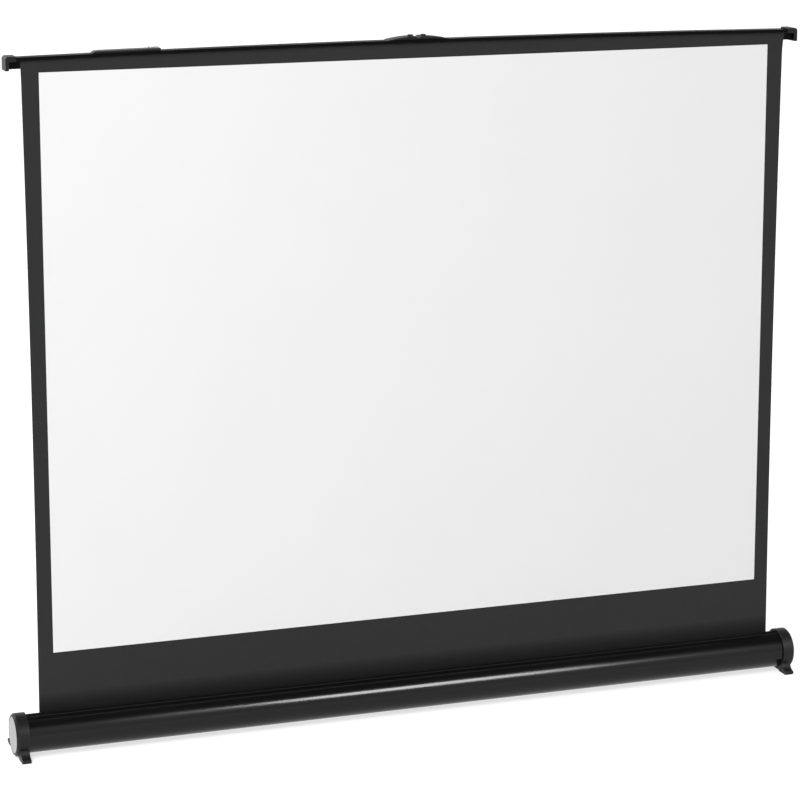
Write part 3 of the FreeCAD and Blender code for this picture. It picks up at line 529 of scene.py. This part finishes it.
# Top bar: a slim aluminium extrusion, anodised satin black, that bows upwards over the pull of the cloth.
# Moulded caps plug its ends.
def satin_extrusion():
    material, tree, surface = new_material("satin_bar_black")
    surface.inputs["Specular IOR Level"].default_value = 0.05
    film = use_group(tree, mottle, Cloud_Scale=7.0, Speck_Scale=1400.0)
    lines = use_group(tree, drawn_lines)
    edges = use_group(tree, edge_wear_and_highlight, Radius=0.0008)
    shade = two_tone(tree, film.outputs["Cloud"], (0.0018, 0.0018, 0.002), (0.0034, 0.0034, 0.0036))
    # The pale colour on the corners is rubbed wear and a painted highlight.
    link(tree, rubbed_and_highlit_colour(tree, edges, shade, (0.075, 0.075, 0.075)), surface.inputs["Base Color"])
    vary_roughness(tree, surface, film.outputs["Cloud"], smooth=0.4, rough=0.5)
    bump(tree, surface, lines.outputs["Lines"], DRAWN_DEPTH, under=edges.outputs["Normal"])
    return material


finish_nodes(satin_extrusion(), "top_bar")
finish_nodes(moulded_black, "bar_cap_left", "bar_cap_right")

# Arched bracket: black moulded plastic, held on the bar by two black screws. Its stud is the upper pivot.
# The coated steel clip to its left takes the folded stay, and two bright rivets hold it.
# The third colour is that of the paler corners: rubbed wear and a painted highlight.
screw_black = coated(
    "screw_black", (0.01, 0.01, 0.01), (0.018, 0.018, 0.018), (0.05, 0.05, 0.05),
    gloss=0.4, rough=0.36, grain_scale=900.0, grain_depth=0.00004, corner=0.0004,
)
finish_nodes(moulded_black, "stay_top_bracket")
finish_nodes(screw_black, "bracket_screws")
finish_nodes(nylon, "top_washers")
finish_nodes(coated_steel, "arm_clip")
finish_nodes(zinc, "top_stud", "clip_rivets")

# Turned, drawn and moulded pieces have smooth round faces, so every CAD piece that shows is shaded smooth.
# Corners sharper than the limit stay sharp, as on the cloth.
for cad in nodes.values():
    if not cad.hide_render:
        cad.data.shade_smooth()
        cad.data.set_sharp_from_angle(angle=SHARP_ANGLE)


# Floor: a plain pale sweep of matt paper, on which the case stands.
# Where the camera sees it or the object mirrors it, it is lifted to white with the object's shadow left in.
FLOOR_SIZE = 60.0
FLOOR_LIFT = 0.62
bpy.ops.mesh.primitive_plane_add(size=FLOOR_SIZE, location=(0, 0, 0))
floor = bpy.context.object
floor.name = "floor"


def seen_rays(tree):
    """One for rays that show a surface to the camera: straight, mirrored or through something clear."""
    path = add_node(tree, "ShaderNodeLightPath")
    seen = path.outputs["Is Camera Ray"]
    for title in ("Is Glossy Ray", "Is Transmission Ray"):
        either = add_node(tree, "ShaderNodeMath", operation="MAXIMUM")
        link(tree, seen, either.inputs[0])
        link(tree, path.outputs[title], either.inputs[1])
        seen = either.outputs["Value"]
    return seen


def pale_floor():
    material, tree, surface = new_material("pale_floor")
    surface.inputs["Roughness"].default_value = 0.9
    surface.inputs["Specular IOR Level"].default_value = 0.0
    surface.inputs["Base Color"].default_value = (0.55, 0.55, 0.55, 1)
    surface.inputs["Emission Color"].default_value = (1, 1, 1, 1)
    lift = remap(tree, seen_rays(tree), 0.0, 1.0, 0.0, FLOOR_LIFT)
    link(tree, lift, surface.inputs["Emission Strength"])
    return material


floor.data.materials.append(pale_floor())


# Surround: a plain white backdrop all round, white where the camera sees it or the object mirrors it, with a
# dark studio ceiling over it in the mirrored light. Where it lights the object it has a soft even level.
BACKDROP_TOP = 0.5
CEILING_START = 0.8


def white_surround(ambient, ceiling):
    """White to rays that are seen, at the ambient level to rays that light, and dark overhead in mirrors."""
    world = bpy.data.worlds.new("surround")
    world.use_nodes = True
    bpy.context.scene.world = world
    tree = world.node_tree
    background = tree.nodes["Background"]
    background.inputs["Color"].default_value = (1, 1, 1, 1)
    seen = remap(tree, seen_rays(tree), 0.0, 1.0, ambient, 1.0)
    place = add_node(tree, "ShaderNodeTexCoord")
    direction = add_node(tree, "ShaderNodeSeparateXYZ")
    link(tree, place.outputs["Generated"], direction.inputs["Vector"])
    overhead = remap(tree, direction.outputs["Z"], BACKDROP_TOP, CEILING_START, 0.0, ceiling - 1.0)
    path = add_node(tree, "ShaderNodeLightPath")
    level = add_node(tree, "ShaderNodeMath", operation="ADD")
    link(tree, seen, level.inputs[0])
    link(tree, multiply(tree, path.outputs["Is Glossy Ray"], overhead), level.inputs[1])
    link(tree, level.outputs["Value"], background.inputs["Strength"])


white_surround(ambient=0.65, ceiling=0.1)


# Lights: a broad bank in front, a softbox at the upper left that fades to the right, and a softbox behind.
# A small one is there for the case and its caps alone, and its mirror image is the streak on the tube.
def lamp_object(light, place, aim):
    lamp = bpy.data.objects.new(light.name, light)
    lamp.location = place
    lamp.rotation_euler = (Vector(aim) - Vector(place)).to_track_quat("-Z", "Y").to_euler()
    lamp.visible_camera = False
    bpy.context.collection.objects.link(lamp)
    return lamp


def softbox(name, place, aim, width, height, power):
    light = bpy.data.lights.new(name, "AREA")
    light.shape = "RECTANGLE"
    light.size = width
    light.size_y = height
    light.energy = power
    return lamp_object(light, place, aim)


bank = bpy.data.lights.new("front_bank", "SUN")
bank.energy = 1.5
bank.angle = math.radians(60)
front_bank = lamp_object(bank, place=(-0.45, -0.8, 0.72), aim=(0, 0, 0))
front_left = softbox(
    "front_left_softbox", place=(-1.7, -1.7, 1.9), aim=(-0.3, 0, 0.6), width=1.4, height=1.4, power=26,
)
case_strip = softbox(
    "case_strip_light", place=(0.8, -1.95, 1.44), aim=(0, 0, 0.03), width=0.66, height=0.6, power=42,
)
softbox("back_softbox", place=(-2.2, 2.6, 2.2), aim=(0, 0, 0.5), width=1.6, height=1.6, power=38)
front_bank.visible_glossy = False
front_left.visible_glossy = False
case_strip.visible_diffuse = False
streak_pieces = bpy.data.collections.new("streak_pieces")
for name in ("case_tube", "end_cap_left", "end_cap_right"):
    streak_pieces.objects.link(nodes[name])
case_strip.light_linking.receiver_collection = streak_pieces

# Camera: as the photograph, from the left of the screen and a little above it, with a long lens.
# Its axis is off the picture's middle by what the framing needs.
CAMERA_PLACE = (-1.2941, -3.6157, 1.3196)
CAMERA_YAW = math.radians(19.476)
CAMERA_PITCH = math.radians(11.689)
FOCAL_PIXELS = 2914.0
IMAGE_PIXELS = 800
LENS_AXIS_ROW = 335
LENS_AXIS_COLUMN = 403.5
camera = bpy.data.cameras.new("camera")
camera.sensor_width = 36.0
camera.lens = FOCAL_PIXELS / IMAGE_PIXELS * camera.sensor_width
camera.shift_x = (IMAGE_PIXELS / 2 - LENS_AXIS_COLUMN) / IMAGE_PIXELS
camera.shift_y = (LENS_AXIS_ROW - IMAGE_PIXELS / 2) / IMAGE_PIXELS
camera.clip_end = 100.0
viewer = bpy.data.objects.new("camera", camera)
viewer.location = CAMERA_PLACE
viewer.rotation_euler = (math.pi / 2 - CAMERA_PITCH, 0, -CAMERA_YAW)
bpy.context.collection.objects.link(viewer)
bpy.context.scene.camera = viewer
bpy.context.scene.view_settings.view_transform = "Standard"
